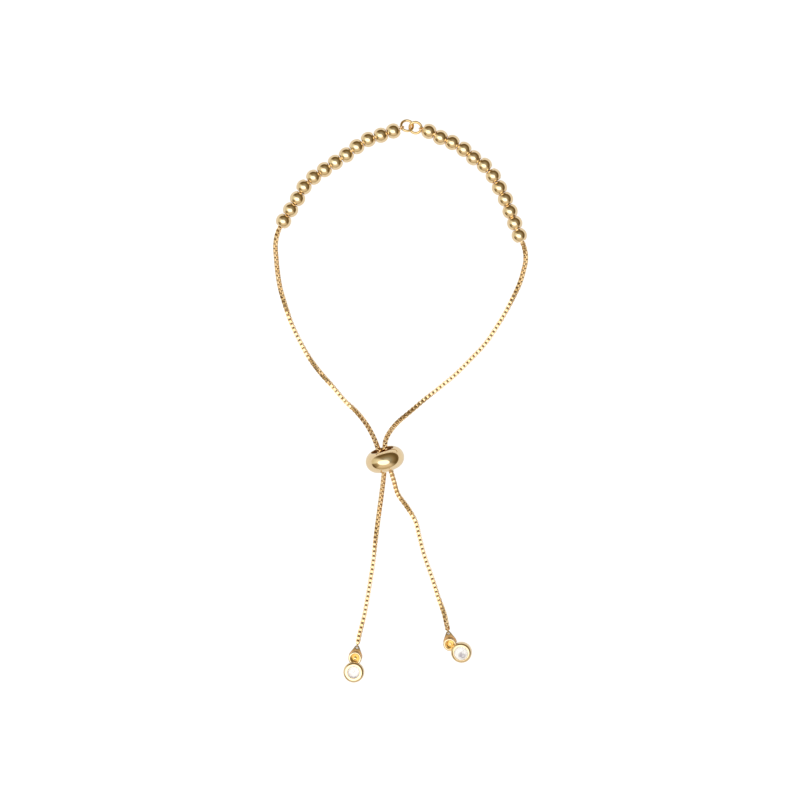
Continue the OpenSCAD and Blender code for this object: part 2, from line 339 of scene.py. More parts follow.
@dataclass(frozen=True)
class TableFinish:
    """Lit white table, so pale that the bracelet leaves only a breath of shade on it.

    The metal reflects it a little dimmer than the camera sees it, as in a picture whose
    ground was brought up to white.
    """

    name: str = "white table"
    colour: Colour = (0.27, 0.27, 0.27)
    glow: float = 0.92
    reflected_glow: float = 0.64

    def material(self) -> Material:
        """Makes the finish.

        Returns:
            A material that is the same all over.
        """
        made = bpy.data.materials.new(self.name)
        bench = Bench(made)
        inputs = {
            "Base Color": self.colour,
            "Roughness": 1.0,
            "Specular IOR Level": 0.0,
            "Emission Color": WHITE,
        }
        seen, reflected = (
            bench.add("BsdfPrincipled", inputs={**inputs, "Emission Strength": glow})
            for glow in (self.glow, self.reflected_glow)
        )
        bounced = bench.add("LightPath", output="Is Reflection Ray")
        surface = bench.add("MixShader", inputs={0: bounced, 1: seen, 2: reflected})
        bench.add("OutputMaterial", inputs={"Surface": surface})
        return made


BEAD_GOLD = GoldFinish("polished bead gold", roughness=0.018, dulling=0.025)
SLIDER_GOLD = GoldFinish(
    "polished sliding bead gold", cloud_scale=360.0, roughness=0.015, dulling=0.03
)
# The darker colour inside the sliding bead's hole is painted shade of the bore; its roughness is
# the unpolished metal.
SHADED_INSIDE_GOLD = GoldFinish(
    "unpolished gold inside the sliding bead", colour=(0.5, 0.28, 0.11),
    deep_colour=(0.36, 0.18, 0.06), roughness=0.4, dulling=0.2,
)
CHAIN_GOLD = GoldFinish(
    "box chain gold", colour=(0.92, 0.69, 0.41), deep_colour=(0.86, 0.57, 0.26),
    roughness=0.055, dulling=0.06, cloud_scale=1300.0, mark_scale=4200.0,
    mark_stretch=(1.0, 1.0, 1.0),
)
WIRE_GOLD = GoldFinish(
    "drawn wire gold", colour=(0.9, 0.68, 0.36), deep_colour=(0.88, 0.6, 0.26), roughness=0.06,
    dulling=0.06, cloud_scale=800.0,
)
# Tag gold is darkened all over as painted shade, and its attribute adds more painted shade towards
# the tip and along the edges.
SHADED_TAG_GOLD = GoldFinish(
    "end tag gold, darkened as painted shade", colour=(0.64, 0.36, 0.17), deep_colour=(0.46, 0.25, 0.1), roughness=0.34,
    dulling=0.12, cloud_scale=900.0, shaded_by="painted_shade",
)
CUP_GOLD = GoldFinish("stone cup gold", roughness=0.08, dulling=0.06, cloud_scale=640.0)
WEB_GOLD = GoldFinish(
    "gold in the loops of the drops", colour=(0.9, 0.7, 0.38), deep_colour=(0.84, 0.59, 0.26),
    roughness=0.12, dulling=0.1, cloud_scale=1500.0,
)
# Each stone's darker tint is painted shade: away from the middle, at the rim under the lip, on the
# left stone, and round one place on the right one.
CLEAR_CRYSTAL = CrystalFinish(
    "clear cut crystal, left", middle=(-0.00966, -0.05615, 0.0006), clear_reach=0.0010,
    shaded_reach=0.00135, painted_glow=0.26,
)
SHADED_CRYSTAL = CrystalFinish(
    "clear cut crystal, right", middle=(0.01263, -0.0529, 0.0029), clear_reach=0.0013,
    shaded_reach=0.0007,
)


# Shaping tools


def as_mesh(bm: BMesh, name: str) -> Mesh:
    """Makes a Blender mesh.

    Args:
        bm: Its shape, which is freed.
        name: Its name.

    Returns:
        The mesh, still in millimetres.
    """
    made = bpy.data.meshes.new(name)
    bm.to_mesh(made)
    bm.free()
    return made


def in_scene(name: str, data: bpy.types.ID) -> Object:
    """Puts a new object in the scene.

    Args:
        name: Its name.
        data: Its mesh, light or camera.

    Returns:
        The object, at the origin.
    """
    made = bpy.data.objects.new(name, data)
    bpy.context.scene.collection.objects.link(made)
    return made


def turned(degrees: float, axis: str) -> Matrix:
    """A turn about one of the axes."""
    return Matrix.Rotation(math.radians(degrees), 4, axis)


@dataclass(frozen=True)
class Pose:
    """Place of a flat piece: its middle, a turn about Z, then a pitch about X, then a lean about Y.

    A piece lies in its own XY plane, and its +Y side faces the chain.
    """

    middle: Place
    turn: float
    pitch: float = 0.0
    lean: float = 0.0

    def matrix(self) -> Matrix:
        """The way from the piece's own plane to the bracelet."""
        place = Matrix.Translation(self.middle)
        return place @ turned(self.turn, "Z") @ turned(self.pitch, "X") @ turned(self.lean, "Y")


def turned_shape(
    corners: Sequence[Span],
    steps: int,
    arc_centre: float | None = None,
    arc_steps: int = 0,
    on_axis: bool = False,
) -> BMesh:
    """Turns a closed outline round the Z axis.

    Args:
        corners: Radius and height of each corner of the outline.
        steps: Steps of the full turn.
        arc_centre: Radius of the centre of an arc, at height 0, that joins the first corner
            to the second one on the outside. None for a straight side.
        arc_steps: Steps of that arc.
        on_axis: Whether the outline starts and ends on the axis, and has no side there.

    Returns:
        A closed shape of its own.
    """
    bm = bmesh.new()
    points = [bm.verts.new((r, 0.0, z)) for r, z in corners]
    sides = list(zip(points, points[1:] + points[:1]))
    if on_axis:
        sides.pop()
    if arc_centre is not None:
        sides.pop(0)
    for side in sides:
        bm.edges.new(side)
    if arc_centre is not None:
        radius, height = corners[0]
        swing = 2.0 * math.atan2(-height, radius - arc_centre)
        centre, axis = (arc_centre, 0.0, 0.0), (0.0, -1.0, 0.0)
        bmesh.ops.spin(bm, geom=points[:1], cent=centre, axis=axis, angle=swing, steps=arc_steps)
        bmesh.ops.remove_doubles(bm, verts=bm.verts[:], dist=SAME)
    full_turn(bm, steps)
    return bm


def full_turn(bm: BMesh, steps: int) -> None:
    """Turns an outline into a closed surface round the Z axis.

    Args:
        bm: Mesh that holds the outline alone.
        steps: Steps of the full turn.
    """
    outline = bm.verts[:] + bm.edges[:]
    bmesh.ops.spin(
        bm, geom=outline, cent=(0.0, 0.0, 0.0), axis=UP, angle=math.tau, steps=steps, use_merge=True
    )
    bmesh.ops.remove_doubles(bm, verts=bm.verts[:], dist=SAME)
    bmesh.ops.recalc_face_normals(bm, faces=bm.faces[:])


def soften(bm: BMesh, choose: Choice, width: float, segments: int) -> None:
    """Rounds the chosen edges.

    Args:
        bm: Mesh to work on.
        choose: Says whether an edge is rounded.
        width: How far the rounding reaches on each side.
        segments: Steps of the rounding.
    """
    bmesh.ops.bevel(
        bm,
        geom=[e for e in bm.edges if choose(e)],
        offset=width,
        offset_type="OFFSET",
        segments=segments,
        profile=0.5,
        affect="EDGES",
        material=-1,
    )


def thicken(bm: BMesh, thickness: float) -> None:
    """Gives a flat form its thickness, half of it on each side.

    Args:
        bm: Mesh that holds the flat form.
        thickness: The whole thickness.
    """
    raised = bmesh.ops.extrude_face_region(bm, geom=bm.faces[:], use_keep_orig=True)["geom"]
    tops = [v for v in raised if isinstance(v, BMVert)]
    bmesh.ops.translate(bm, vec=(0.0, 0.0, thickness), verts=tops)
    bmesh.ops.translate(bm, vec=(0.0, 0.0, -thickness / 2), verts=bm.verts[:])
    bmesh.ops.recalc_face_normals(bm, faces=bm.faces[:])


def on_ring(radius: float, height: float) -> Choice:
    """Chooses the edges that run round the Z axis.

    Args:
        radius: Their radius.
        height: Their height.

    Returns:
        The choice.
    """

    def chosen(edge: BMEdge) -> bool:
        """Whether both ends of the edge are on the ring."""
        return all(
            abs(math.hypot(v.co.x, v.co.y) - radius) < ON_LINE and abs(v.co.z - height) < ON_LINE
            for v in edge.verts
        )

    return chosen


def wire_ring(radius: float, wire: float, steps: int, sides: int) -> BMesh:
    """Round wire bent to a full ring, flat in XY.

    Args:
        radius: Radius to the middle of the wire.
        wire: Diameter of the wire.
        steps: Steps round the ring.
        sides: Sides of the wire.

    Returns:
        The closed ring.
    """
    bm = bmesh.new()
    way = Matrix.Translation((radius, 0.0, 0.0)) @ turned(90.0, "X")
    bmesh.ops.create_circle(bm, radius=wire / 2, segments=sides, matrix=way)
    full_turn(bm, steps)
    return bm


def repeated(name: str, shapes: Sequence[tuple[BMesh, Sequence[Matrix]]]) -> Mesh:
    """Repeats small shapes in one mesh, and frees them.

    Args:
        name: Name of the mesh.
        shapes: Each shape, with a matrix for each of its copies.

    Returns:
        The mesh, still in millimetres.
    """
    points, faces = [], []
    for bm, ways in shapes:
        bm.verts.index_update()
        corners = np.array([v.co for v in bm.verts])
        rims = [[v.index for v in f.verts] for f in bm.faces]
        bm.free()
        for move in map(np.array, ways):
            faces += [[len(points) + k for k in rim] for rim in rims]
            points += (corners @ move[:3, :3].T + move[:3, 3]).tolist()
    made = bpy.data.meshes.new(name)
    made.from_pydata(points, [], faces)
    return made


def soldered(shapes: Sequence[BMesh]) -> Mesh:
    """Joins shapes into one piece of metal, and frees them.

    Args:
        shapes: The shapes, the first of which meets all the others.

    Returns:
        The joined mesh, in millimetres.
    """
    parts = [in_scene("part", as_mesh(bm, "part")) for bm in shapes]
    for part in parts:
        # Two empty slots keep the faces' material numbers, 0 and 1, through the union.
        for _ in range(2):
            part.data.materials.append(None)
    for part in parts[1:]:
        solder = parts[0].modifiers.new("solder", "BOOLEAN")
        solder.operation = "UNION"
        solder.solver = "EXACT"
        solder.object = part
    graph = bpy.context.evaluated_depsgraph_get()
    joined = bpy.data.meshes.new_from_object(parts[0].evaluated_get(graph))
    for part in parts:
        # A mesh takes the object that shows it along.
        bpy.data.meshes.remove(part.data)
    return joined


class Workshop:
    """Finishes pieces: gives each its place, its material and its part in the frame."""

    def __init__(self) -> None:
        """Starts with no material made."""
        self.materials: dict[str, Material] = {}

    def material(self, finish: GoldFinish | CrystalFinish | TableFinish) -> Material:
        """Makes each finish once.

        Args:
            finish: The finish.

        Returns:
            Its material.
        """
        if finish.name not in self.materials:
            self.materials[finish.name] = finish.material()
        return self.materials[finish.name]

    def piece(
        self,
        node: str,
        shape: BMesh | Mesh,
        finish: GoldFinish | CrystalFinish,
        way: Matrix | None = None,
        sharp: float = 35.0,
        inner: GoldFinish | None = None,
    ) -> Object:
        """Makes a finished piece that stands for one CAD node.

        Args:
            node: The CAD node.
            shape: Its shape in millimetres.
            finish: What it is made of.
            way: The way from the shape's own place to the bracelet.
            sharp: Angle between faces, in degrees, past which an edge stays crisp.
            inner: What its faces of material number 1 are made of.

        Returns:
            The piece, with its place in its mesh.
        """
        slot = "crystal" if isinstance(finish, CrystalFinish) else "gold"
        mesh = as_mesh(shape, node) if isinstance(shape, BMesh) else shape
        mesh.transform(Matrix.Scale(MM, 4) @ (way or Matrix.Identity(4)))
        mesh.shade_smooth()
        mesh.set_sharp_from_angle(angle=math.radians(sharp))
        finishes = (finish,) if inner is None else (finish, inner)
        for k, each in enumerate(finishes):
            if k < len(mesh.materials):
                mesh.materials[k] = self.material(each)
            else:
                mesh.materials.append(self.material(each))
        mesh.update()
        made = in_scene(f"{node}_{slot}", mesh)
        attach(made, "root")
        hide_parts(node)
        log.info("  %s, %s, %d faces", node, finish.name, len(mesh.polygons))
        return made


# The bracelet


@dataclass
class Part:
    """A sub-assembly, with the workshop that finishes its pieces."""

    shop: Workshop


@dataclass(frozen=True)
class Route:
    """Smooth curve through the places that a chain passes, with its roll about its own line.

    Its direction at each row is the one from the row before to the row after, as in the solids.
    """

    rows: tuple[Row, ...]
    steps: int = 24

    def heading(self, k: int) -> Vector:
        """Direction of the chain at row k."""
        ahead, behind = self.rows[min(k + 1, len(self.rows) - 1)], self.rows[max(k - 1, 0)]
        return (Vector(ahead[:3]) - Vector(behind[:3])).normalized()

    def sampled(self) -> tuple[np.ndarray, np.ndarray]:
        """Samples the curve closely.

        Returns:
            Points with their rolls, and the length of chain up to each.
        """
        t = np.linspace(0.0, 1.0, self.steps + 1)[1:, None]
        bend = 3 * t**2 - 2 * t**3
        found = [np.array(self.rows[:1])]
        for k in range(len(self.rows) - 1):
            start, end = np.array(self.rows[k]), np.array(self.rows[k + 1])
            chord = np.linalg.norm(end[:3] - start[:3])
            leave, arrive = (np.array(self.heading(row)) * chord for row in (k, k + 1))
            place = start[:3] * (1 - bend) + end[:3] * bend
            place += leave * (t**3 - 2 * t**2 + t) + arrive * (t**3 - t**2)
            found.append(np.hstack([place, start[3] + (end[3] - start[3]) * t]))
        points = np.concatenate(found)
        strides = np.linalg.norm(np.diff(points[:, :3], axis=0), axis=1)
        return points, np.concatenate([[0.0], np.cumsum(strides)])

    def ways(self, pitch: float) -> list[Matrix]:
        """Places links at an even pitch, X along the chain, each a quarter turn from the last.

        Args:
            pitch: Wanted distance between links, which is adjusted to fill the route.

        Returns:
            One matrix for each link.
        """
        points, lengths = self.sampled()
        count = round(lengths[-1] / pitch)
        at = (np.arange(count) + 0.5) * lengths[-1] / count
        here = np.stack([np.interp(at, lengths, points[:, k]) for k in range(4)], axis=1)
        ahead, behind = (
            np.stack([np.interp(at + d, lengths, points[:, k]) for k in range(3)], axis=1)
            for d in (pitch / 2, -pitch / 2)
        )
        made = []
        for k in range(count):
            along = Vector(ahead[k] - behind[k]).normalized()
            across = UP.cross(along).normalized()
            up = along.cross(across)
            turn = Matrix((along, across, up)).transposed().to_4x4()
            roll = turned(here[k][3] + 90.0 * (k % 2), "X")
            made.append(Matrix.Translation(here[k][:3]) @ turn @ roll)
        return made


@dataclass(frozen=True)
class EndLink:
    """Round link that closes a chain's end, standing across the wire that it holds."""

    pose: Pose
    reach: float
    turn: float = 0.0
    radius: float = 0.49
    wire: float = 0.22

    def way(self) -> Matrix:
        """The way from a ring in its own plane to the link's place."""
        out = Matrix.Translation((0.0, self.reach, 0.0))
        return self.pose.matrix() @ turned(self.turn, "Z") @ out @ turned(90.0, "Y")

    def heel(self) -> Vector:
        """Where the chain is soldered to the link's wire, on the far side from what it holds."""
        out = self.reach + self.radius - self.wire / 4
        return self.pose.matrix() @ turned(self.turn, "Z") @ Vector((0.0, out, 0.0))


@dataclass
class BeadedChain(Part):
    """One side of the bracelet: a box chain, and the drilled beads that it carries."""

    side: Side
    rows: tuple[Row, ...]
    top_link: EndLink
    foot_link: EndLink
    bead_d: float = 3.2
    bead_len: float = 2.58
    bead_bore: float = 1.7
    bore_rounding: float = 0.045
    flat_rounding: float = 0.025
    chain_width: float = 0.92
    link_strip: float = 0.12
    link_depth: float = 0.6
    link_length: float = 0.92
    link_bend: float = 0.25
    link_rounding: float = 0.06
    link_pitch: float = 0.47

    @property
    def route(self) -> Route:
        """The whole route, from one end link to the other."""
        top, foot = self.top_link.heel(), self.foot_link.heel()
        return Route(((*top, self.rows[0][3]), *self.rows, (*foot, self.rows[-1][3])))

    def bead(self) -> BMesh:
        """Drills a ball with flat ends and its hole along Z, all its rims rubbed soft.

        Returns:
            The closed ball.
        """
        bore, half = self.bead_bore / 2, self.bead_len / 2
        flat = math.sqrt((self.bead_d / 2) ** 2 - half**2)
        corners = [(flat, -half), (flat, half), (bore, half), (bore, -half)]
        bm = turned_shape(corners, steps=48, arc_centre=0.0, arc_steps=20)
        for end in (half, -half):
            soften(bm, on_ring(bore, end), self.bore_rounding, segments=2)
            soften(bm, on_ring(flat, end), self.flat_rounding, segments=1)
        return bm

    def box_link(self) -> BMesh:
        """Bends flat strip to a square link, its hole along Z and the chain's line along X.

        Returns:
            The closed link.
        """
        length, strip = self.link_length, self.link_strip
        bm = bmesh.new()
        bmesh.ops.create_grid(bm, x_segments=1, y_segments=1, size=0.5)
        bmesh.ops.scale(bm, vec=(length, self.chain_width, 1.0), verts=bm.verts[:])
        inner = bm.faces[:]
        bmesh.ops.inset_region(
            bm, faces=inner, thickness=strip, use_boundary=True, use_even_offset=True
        )
        bmesh.ops.delete(bm, geom=inner, context="FACES")
        thicken(bm, self.link_depth)

        def corner(half: float) -> Choice:
            """A choice of the four corners, which run along Z, at half a length."""
            return lambda e: all(abs(abs(v.co.x) - half) < ON_LINE for v in e.verts) and (
                abs(e.verts[0].co.z + e.verts[1].co.z) < SAME
            )

        def outer_rim(edge: BMEdge) -> bool:
            """Whether an edge runs round the outside of the strip."""
            sides = [f.normal for f in edge.link_faces if abs(f.normal.z) < ON_LINE]
            return len(sides) == 1 and sides[0].dot(edge.verts[0].co + edge.verts[1].co) > 0

        soften(bm, corner(length / 2), self.link_bend, segments=2)
        soften(bm, corner(length / 2 - strip), self.link_bend - strip, segments=1)
        soften(bm, outer_rim, self.link_rounding, segments=1)
        return bm

    def build(self) -> None:
        """Makes the beads and the chain."""
        route = self.route
        for k in range(1, BEADS_A_SIDE + 1):
            turn = route.heading(k).to_track_quat("Z", "Y").to_matrix().to_4x4()
            way = Matrix.Translation(self.rows[k - 1][:3]) @ turn
            self.shop.piece(f"bead_{self.side.value}_{k:02d}", self.bead(), BEAD_GOLD, way)
        links = [(self.box_link(), route.ways(self.link_pitch))]
        for end in (self.top_link, self.foot_link):
            links.append((wire_ring(end.radius, end.wire, steps=28, sides=8), [end.way()]))
        node = f"chain_{self.side.value}"
        self.shop.piece(node, repeated(node, links), CHAIN_GOLD)


@dataclass
class SlidingBead(Part):
    """Thick round bead with a wide hole, narrow at the waist, through which both chains run."""

    outer_d: float = 8.1
    length: float = 4.3
    mouth_d: float = 4.8
    waist_d: float = 3.0
    turn: float = 15.5
    lift: float = 11.0
    middle: Span = (-3.22, -12.17)
    table_gap: float = 0.01
    mouth_depth: float = 0.95
    waist_half: float = 0.5
    mouth_rounding: float = 0.1
    waist_rounding: float = 0.2

    def build(self) -> None:
        """Makes the bead, with the inside of its hole in a darker finish that paints the shade in
        the bore.
        """
        outer, mouth, half = self.outer_d / 2, self.mouth_d / 2, self.length / 2
        arc = ((outer - mouth) ** 2 + half**2) / (2 * (outer - mouth))
        centre = outer - arc
        waist, step = self.waist_d / 2, half - self.mouth_depth
        narrow = [(waist, self.waist_half), (waist, -self.waist_half)]
        corners = [(mouth, -half), (mouth, half), (mouth, step), *narrow, (mouth, -step)]
        bm = turned_shape(corners, steps=96, arc_centre=centre, arc_steps=40)
        for way in (1, -1):
            soften(bm, on_ring(mouth, way * half), self.mouth_rounding, segments=4)
            soften(bm, on_ring(waist, way * self.waist_half), self.waist_rounding, segments=3)
        # Faces deep in the hole take the darker finish: painted shade of the bore.
        for face in bm.faces:
            at = face.calc_center_median()
            deep = abs(at.z) < half - self.mouth_rounding
            face.material_index = int(deep and math.hypot(at.x, at.y) < mouth + ON_LINE)
        height = centre * math.cos(math.radians(self.lift)) + arc + self.table_gap
        place = Matrix.Translation((*self.middle, height))
        way = place @ turned(self.turn, "Z") @ turned(self.lift - 90.0, "X")
        self.shop.piece("slider_bead", bm, SLIDER_GOLD, way, inner=SHADED_INSIDE_GOLD)


@dataclass
class TopRings(Part):
    """Two round wire rings, linked in each other, that join the chains at the top."""

    left: Pose
    right: Pose
    radius: float = 1.22
    wire: float = 0.54

    def build(self) -> None:
        """Makes both rings."""
        for side, pose in ((Side.LEFT, self.left), (Side.RIGHT, self.right)):
            ring = wire_ring(self.radius, self.wire, steps=72, sides=20)
            self.shop.piece(f"ring_{side.value}", ring, WIRE_GOLD, pose.matrix())


@dataclass
class EndTag(Part):
    """Pear shaped plate on a chain's last link, which holds a drop by its pin.

    Painted shade darkens it along its edges and, past a set distance from the pin, towards its tip.
    """

    side: Side
    pose: Pose
    thickness: float = 0.28
    round_r: float = 1.4
    round_y: float = 0.35
    tip_r: float = 0.48
    tip_y: float = 2.24
    corner: Span = (1.38, 0.12)
    foot_r: float = 0.68
    foot_half: float = 70.0
    link_hole_r: float = 0.25
    pin_hole_r: float = 0.45
    crisp_angle: float = 1.0
    rounding: float = 0.09
    # Painted shade: where it starts towards the tip, and how strongly it darkens the edges.
    shade_from: float = 0.9
    edge_shade: float = 2.5

    def form(self) -> BMesh:
        """Draws half of the outline, mirrors it, drills the plate and rounds its edges.

        Returns:
            The closed plate.
        """
        half = math.asin((self.round_r - self.tip_r) / (self.tip_y - self.round_y))
        low = math.asin((self.corner[1] - self.round_y) / self.round_r)
        foot = math.radians(self.foot_half)
        bm = bmesh.new()
        # Each arc: centre on the Y axis, radius, direction of its first point, turn and steps.
        arcs = [
            (0.0, self.foot_r, -math.pi / 2, foot, 8),
            (self.round_y, self.round_r, low, half - low, 14),
            (self.tip_y, self.tip_r, half, math.pi / 2 - half, 8),
        ]
        ends = []
        for y, radius, start, angle, steps in arcs:
            at = (radius * math.cos(start), y + radius * math.sin(start), 0.0)
            ends.append(bm.verts.new(at))
            drawn = bmesh.ops.spin(
                bm, geom=ends[-1:], cent=(0.0, y, 0.0), axis=UP, angle=angle, steps=steps
            )
            ends += [v for v in drawn["geom_last"] if isinstance(v, BMVert)]
        for joint in (ends[1:3], ends[3:5]):
            bm.edges.new(joint)
        bmesh.ops.mirror(bm, geom=bm.verts[:] + bm.edges[:], axis="X", merge_dist=ON_LINE)
        for y, radius, steps in ((0.0, self.pin_hole_r, 32), (self.tip_y, self.link_hole_r, 20)):
            middle = Matrix.Translation((0.0, y, 0.0))
            bmesh.ops.create_circle(bm, radius=radius, segments=steps, matrix=middle)
        bmesh.ops.triangle_fill(bm, use_beauty=True, edges=bm.edges[:])
        thicken(bm, self.thickness)
        soften(bm, lambda e: e.calc_face_angle(0.0) > self.crisp_angle, self.rounding, segments=3)
        # Painted shade: darker from the start length towards the tip, and along the edges.
        painted_shade = bm.verts.layers.float.new(SHADED_TAG_GOLD.shaded_by)
        for vert in bm.verts:
            tip = (vert.co.y - self.shade_from) / (self.tip_y - self.shade_from)
            edge = 1.0 - abs(vert.co.z) / (self.thickness / 2)
            vert[painted_shade] = min(1.0, max(tip, self.edge_shade * edge, 0.0))
        return bm

    def build(self) -> None:
        """Makes the tag."""
        node = f"end_tag_{self.side.value}"
        self.shop.piece(node, self.form(), SHADED_TAG_GOLD, self.pose.matrix())


@dataclass
class StoneDrop(Part):
    """Open backed cup with a soldered loop, and the round cut stone that it holds.

    Heights are those of the upright cup, whose back is at z = 0, and of the pin under the loop.
    """

    side: Side
    pose: Pose
    lying: Lying
    crystal: CrystalFinish
    cup_d: float = 4.3
    cup_h: float = 1.9
    cup_rounding: float = 0.6
    back_bore: float = 2.5
    back_t: float = 0.3
    back_rounding: float = 0.08
    cavity_r: float = 1.36
    groove_gap: float = 0.07
    lip_hold: float = 0.125
    lip_rounding: float = 0.06
    eye_wire: float = 0.54
    eye_r: float = 1.12
    eye_reach: float = 2.88
    eye_z: float = 1.0
    stone_d: float = 3.2
    table_d: float = 1.8
    crown: float = 0.42
    pavilion: float = 1.1
    star_share: float = 0.45
    tip_share: float = 0.24
    girdle_z: float = 1.44
    girdle_half: float = 0.04
    seat_z: float = 1.12
    seat_top_z: float = 1.34
    lip_z: float = 1.64
    web_top: tuple[Span, ...] = ((0.0, 0.12), (0.45, -0.3), (1.0, 0.22))
    web_back: Span = (0.9, -0.15)
    web_foot: Span = (0.6, -0.4)
    pin_r: float = 0.34
    pin_head_r: float = 0.58
    pin_head_z: float = -0.92
    pin_end_z: float = -1.0

    def cup_way(self) -> Matrix:
        """The way from an upright cup to its loop, turned over if it lies on its face."""
        out, over = Vector((0.0, -self.eye_reach, 0.0)), turned(self.lying.value, "Y")
        return Matrix.Translation(out) @ over @ Matrix.Translation(UP * -self.eye_z)

    def cup(self) -> BMesh:
        """Turns the cup, and rubs its rim and back round.

        Returns:
            The closed cup, its back at z = 0.
        """
        outer, stone_r, back_r = self.cup_d / 2, self.stone_d / 2, self.back_bore / 2
        groove, lip = stone_r + self.groove_gap, stone_r - self.lip_hold
        rim = [(outer, 0.0), (outer, self.cup_h), (lip, self.cup_h), (lip, self.lip_z)]
        seat = [(groove, self.lip_z), (groove, self.seat_top_z), (self.cavity_r, self.seat_z)]
        back = [(self.cavity_r, self.back_t), (back_r, self.back_t), (back_r, 0.0)]
        bm = turned_shape(rim + seat + back, steps=96)
        soften(bm, on_ring(outer, self.cup_h), self.cup_rounding, segments=10)
        soften(bm, on_ring(outer, 0.0), self.cup_rounding, segments=10)
        soften(bm, on_ring(lip, self.cup_h), self.lip_rounding, segments=3)
        soften(bm, on_ring(back_r, 0.0), self.back_rounding, segments=3)
        return bm

    def web(self) -> BMesh:
        """Turns the grooved web that fills the loop, and the pin under it.

        Returns:
            The closed web, all in material number 1.
        """
        under = [(self.eye_r, 0.0), self.web_back, self.web_foot, (self.pin_r, self.web_foot[1])]
        head_z, end_z = self.pin_head_z, self.pin_end_z
        pin = [(self.pin_r, head_z), (self.pin_head_r, head_z), (self.pin_head_r, end_z)]
        bm = turned_shape([*self.web_top, *under, *pin, (0.0, end_z)], steps=64, on_axis=True)
        for face in bm.faces:
            face.material_index = 1
        return bm

    def cup_with_loop(self) -> Mesh:
        """Solders cup, loop, web and pin together, with the loop's middle at the origin.

        Returns:
            One closed mesh, in millimetres.
        """
        cup = self.cup()
        bmesh.ops.transform(cup, matrix=self.cup_way(), verts=cup.verts[:])
        loop = wire_ring(self.eye_r, self.eye_wire, steps=64, sides=20)
        return soldered([cup, loop, self.web()])

    def stone(self) -> BMesh:
        """Cuts a round stone: table, stars, kites and halves above the girdle, facets below.

        Returns:
            The closed stone, its table up.
        """
        radius, table = self.stone_d / 2, self.table_d / 2
        top, low = self.girdle_z + self.girdle_half, self.girdle_z - self.girdle_half
        rise, fall = self.crown / (radius - table), self.pavilion / radius
        star = table + self.star_share * (radius - table)
        tip = self.tip_share * radius
        eighth = math.cos(math.pi / 8)
        rings = [
            (table, top + self.crown, 8, 0.0),
            (star, top + (radius - star * eighth) * rise, 8, 22.5),
            (radius, top, 16, 0.0),
            (radius, low, 16, 0.0),
            (tip, low - self.pavilion + tip * eighth * fall, 8, 22.5),
        ]
        bm = bmesh.new()
        for r, z, count, turn in rings:
            place = Matrix.Translation((0.0, 0.0, z)) @ turned(turn, "Z")
            bmesh.ops.create_circle(bm, radius=r, segments=count, matrix=place)
        bm.verts.new((0.0, 0.0, low - self.pavilion))
        bmesh.ops.delete(bm, geom=bm.edges[:], context="EDGES_FACES")
        bmesh.ops.convex_hull(bm, input=bm.verts[:])
        bmesh.ops.dissolve_limit(
            bm, angle_limit=math.radians(0.6), verts=bm.verts[:], edges=bm.edges[:]
        )
        bmesh.ops.recalc_face_normals(bm, faces=bm.faces[:])
        return bm

    def build(self) -> None:
        """Makes the cup and its stone."""
        side, way, cup = self.side.value, self.pose.matrix(), self.cup_with_loop()
        self.shop.piece(f"stone_cup_{side}", cup, CUP_GOLD, way, inner=WEB_GOLD)
        way = way @ self.cup_way()
        self.shop.piece(f"stone_{side}", self.stone(), self.crystal, way, sharp=1.0)


# The studio


@dataclass(frozen=True)
class Softbox:
    """Large oval soft light overhead, part of the room. Its spreads are half of what it fills."""

    tilt: float = 15.0
    towards: float = 230.0
    turn: float = -12.0
    spread_x: float = 36.0
    spread_y: float = 22.5
    softness: float = 0.16
    least_depth: float = 0.02
    colour: Colour = (2.1, 2.1, 2.05)

    def share(self, bench: Bench, aim: Signal) -> Signal:
        """How much of the light is seen in a direction.

        Args:
            bench: Node tree of the room.
            aim: The direction.

        Returns:
            1 inside the light and 0 outside it, with soft edges.
        """
        tilt, towards = math.radians(self.tilt), math.radians(self.towards)
        flat = math.sin(tilt)
        middle = Vector((flat * math.cos(towards), flat * math.sin(towards), math.cos(tilt)))
        right = (Vector((1.0, 0.0, 0.0)) - middle * middle.x).normalized()
        right = Matrix.Rotation(math.radians(self.turn), 3, middle) @ right
        depth = bench.along(aim, middle).at_least(self.least_depth)
        across = bench.along(aim, right) / depth / math.tan(math.radians(self.spread_x))
        down = bench.along(aim, middle.cross(right)) / depth / math.tan(math.radians(self.spread_y))
        reach = (across * across + down * down) ** 0.5
        return 1.0 - bench.smooth_step(reach, 1.0 - self.softness, 1.0 + self.softness)


@dataclass(frozen=True)
class Wall:
    """One side of the room: its bearing, where it sets in, and its tones by height.

    It sets in between two cosines of the level angle from its bearing.
    """

    towards: float
    span: Span
    stops: Stops

    def share(self, bench: Bench, aim: Signal, level: Signal) -> Signal:
        """How much of the side is seen in a direction.

        Args:
            bench: Node tree of the room.
            aim: The direction.
            level: Length of its level part.

        Returns:
            1 on this side and 0 on the others, with a soft change.
        """
        turn = math.radians(self.towards)
        facing = bench.along(aim, Vector((math.cos(turn), math.sin(turn), 0.0))) / level
        return bench.smooth_step(facing, *self.span)


